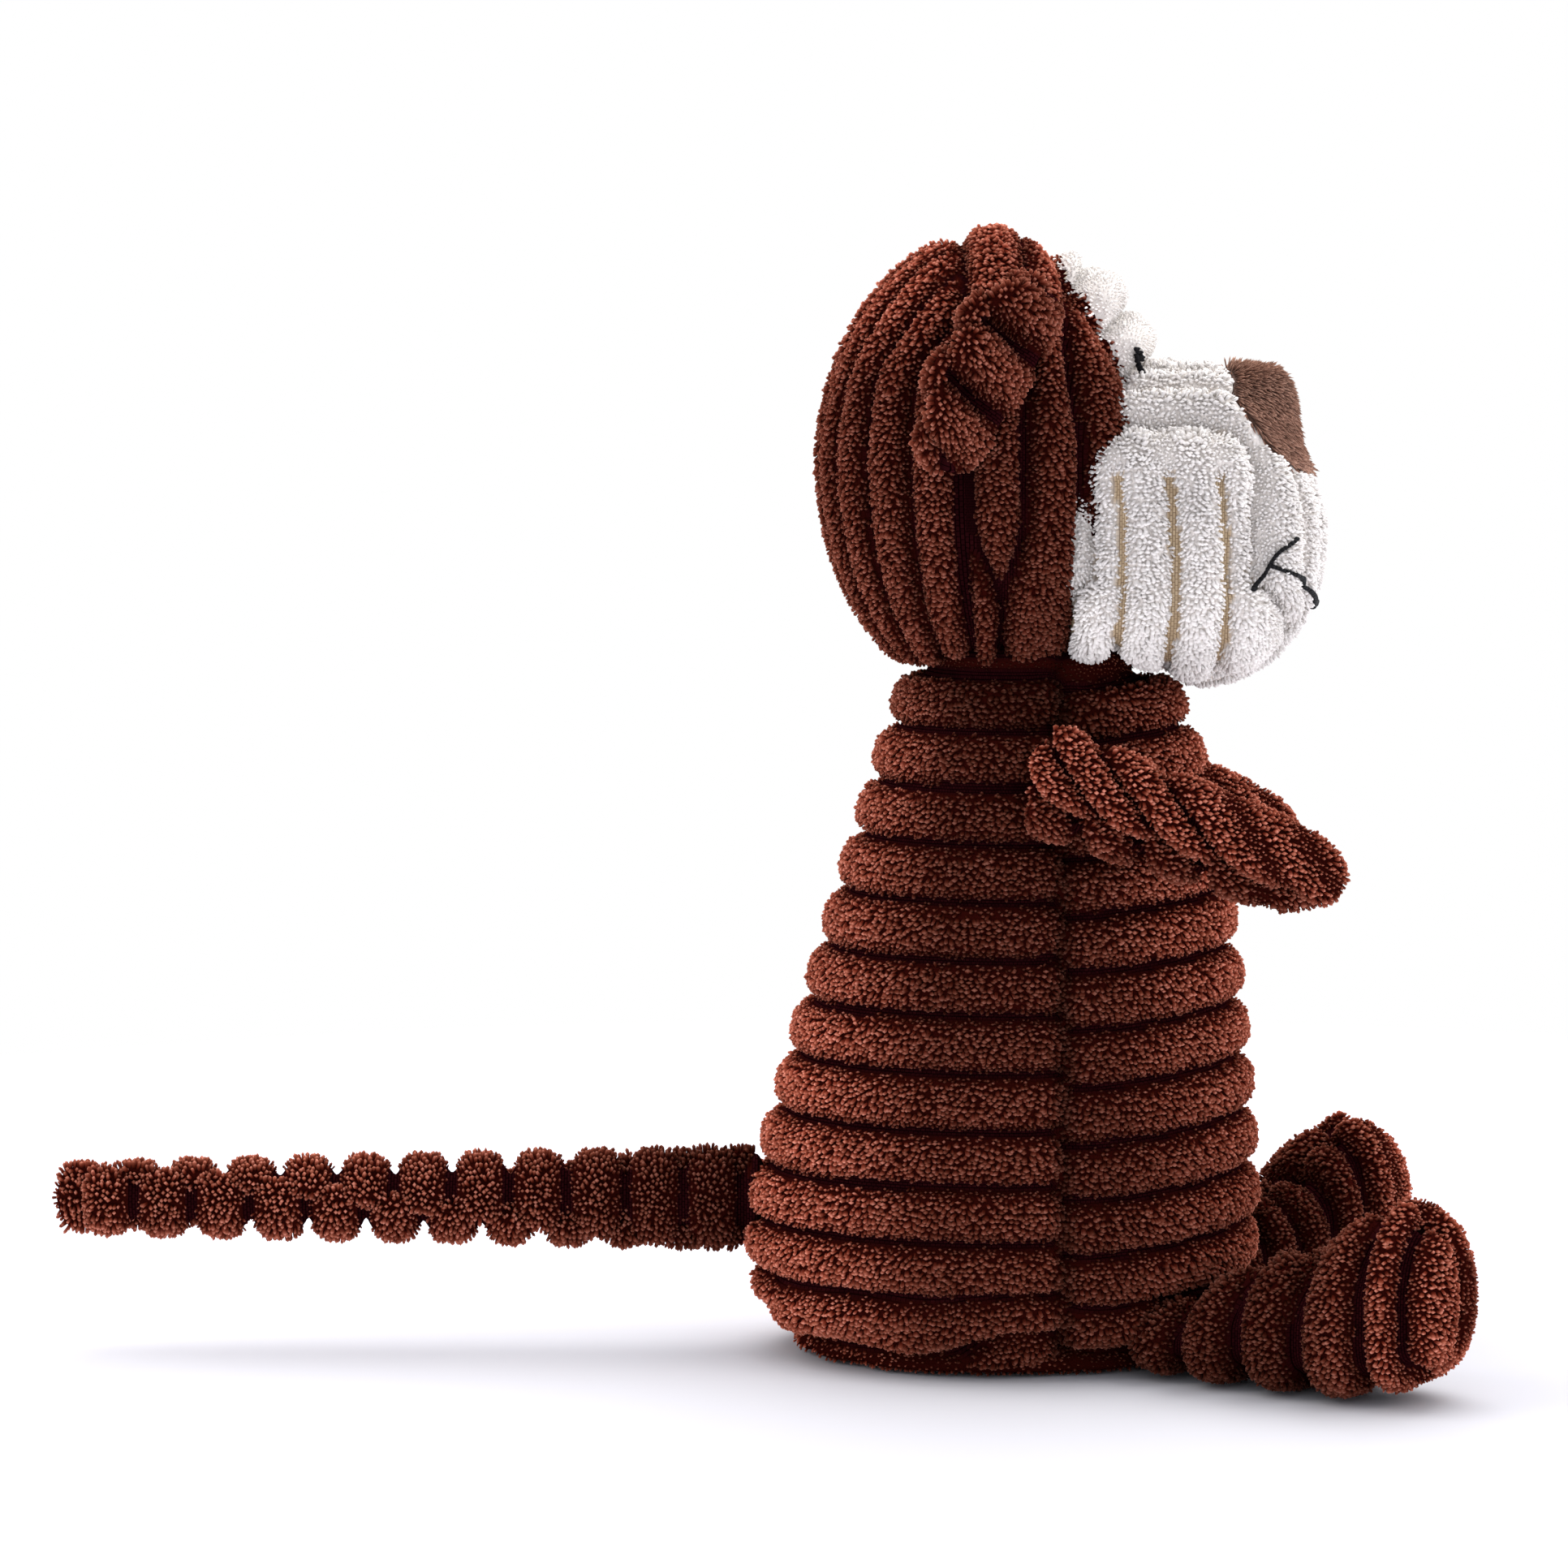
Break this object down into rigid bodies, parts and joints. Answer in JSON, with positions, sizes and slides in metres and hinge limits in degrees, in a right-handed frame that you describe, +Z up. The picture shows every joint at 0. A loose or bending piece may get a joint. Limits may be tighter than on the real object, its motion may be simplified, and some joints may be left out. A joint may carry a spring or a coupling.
{
  "type": "plush monkey dog toy",
  "caption": "Sitting plush monkey pet toy of ribbed cord plush over stuffing, with a cream face, turning head, swinging limbs, floppy ears, a wagging lobed tail and a squeaker inside.",
  "frame": {"origin": "middle of the flat seat, on the floor it sits on", "axes": "+X towards the monkey's front and opposite to its tail, +Y to its left, +Z up"},
  "size_m": [0.2853, 0.1352, 0.2294],
  "materials": {
    "brown_plush": "ribbed cord plush, matt",
    "cream_plush": "ribbed cord plush, matt",
    "nose_plush": "short brushed pile",
    "black_thread": "embroidery thread",
    "white_fibre": "loose polyester fibre",
    "squeaker_plastic": "thin blow-moulded plastic"
  },
  "bodies": {
    "torso": {"torso_back_panel": "brown_plush", "torso_front_panel": "brown_plush", "torso_seat_panel": "brown_plush", "torso_stuffing": "white_fibre", "squeaker_bulb": "squeaker_plastic", "squeaker_reed": "squeaker_plastic"},
    "head": {"head_back_panel": "brown_plush", "head_front_panel": "brown_plush", "forehead_panel": "cream_plush", "head_stuffing": "white_fibre", "muzzle_cheek_right": "cream_plush", "muzzle_cheek_left": "cream_plush", "muzzle_centre_panel": "cream_plush", "muzzle_stuffing": "white_fibre", "nose_patch": "nose_plush", "eye_right": "black_thread", "eye_left": "black_thread", "mouth_stitching": "black_thread"},
    "ear_right": {"ear_right_front": "brown_plush", "ear_right_back": "brown_plush"},
    "arm_right": {"arm_right_upper_panel": "brown_plush", "arm_right_lower_panel": "brown_plush", "arm_right_stuffing": "white_fibre"},
    "leg_right": {"leg_right_outer_panel": "brown_plush", "leg_right_inner_panel": "brown_plush", "leg_right_stuffing": "white_fibre"},
    "ear_left": {"ear_left_front": "brown_plush", "ear_left_back": "brown_plush"},
    "arm_left": {"arm_left_upper_panel": "brown_plush", "arm_left_lower_panel": "brown_plush", "arm_left_stuffing": "white_fibre"},
    "leg_left": {"leg_left_outer_panel": "brown_plush", "leg_left_inner_panel": "brown_plush", "leg_left_stuffing": "white_fibre"},
    "tail": {"tail_upper_layer": "brown_plush", "tail_lower_layer": "brown_plush"}
  },
  "joints": [
    {"name": "neck_turn", "type": "hinge", "parent": "torso", "child": "head", "pos_m": [0, 0, 0.1405], "axis": [0, 0, 1], "range_deg": [-30, 30], "stiffness_Nm_per_rad": 0.15},
    {"name": "ear_right_flop", "type": "hinge", "parent": "head", "child": "ear_right", "pos_m": [-0.004, -0.03771, 0.1985], "axis": [0.5982, 0.1763, 0.7817], "range_deg": [-10, 50], "stiffness_Nm_per_rad": 0.01},
    {"name": "shoulder_right", "type": "hinge", "parent": "torso", "child": "arm_right", "pos_m": [0.005, -0.02998, 0.121], "axis": [-0.3196, 0.0621, -0.9455], "range_deg": [-10, 70], "stiffness_Nm_per_rad": 0.02},
    {"name": "hip_right", "type": "hinge", "parent": "torso", "child": "leg_right", "pos_m": [0.036, -0.0245, 0.008], "axis": [-0.5736, -0.8191, 0], "range_deg": [-15, 35], "stiffness_Nm_per_rad": 0.08},
    {"name": "ear_left_flop", "type": "hinge", "parent": "head", "child": "ear_left", "pos_m": [-0.004, 0.03771, 0.1985], "axis": [-0.5982, 0.1763, -0.7817], "range_deg": [-10, 50], "stiffness_Nm_per_rad": 0.01},
    {"name": "shoulder_left", "type": "hinge", "parent": "torso", "child": "arm_left", "pos_m": [0.005, 0.02998, 0.121], "axis": [0.3196, 0.0621, 0.9455], "range_deg": [-10, 70], "stiffness_Nm_per_rad": 0.02},
    {"name": "hip_left", "type": "hinge", "parent": "torso", "child": "leg_left", "pos_m": [0.036, 0.0245, 0.008], "axis": [0.5736, -0.8191, 0], "range_deg": [-15, 35], "stiffness_Nm_per_rad": 0.08},
    {"name": "tail_wag", "type": "hinge", "parent": "torso", "child": "tail", "pos_m": [-0.05325, 0, 0.031], "axis": [0, 0, 1], "range_deg": [-40, 40], "stiffness_Nm_per_rad": 0.03}
  ]
}
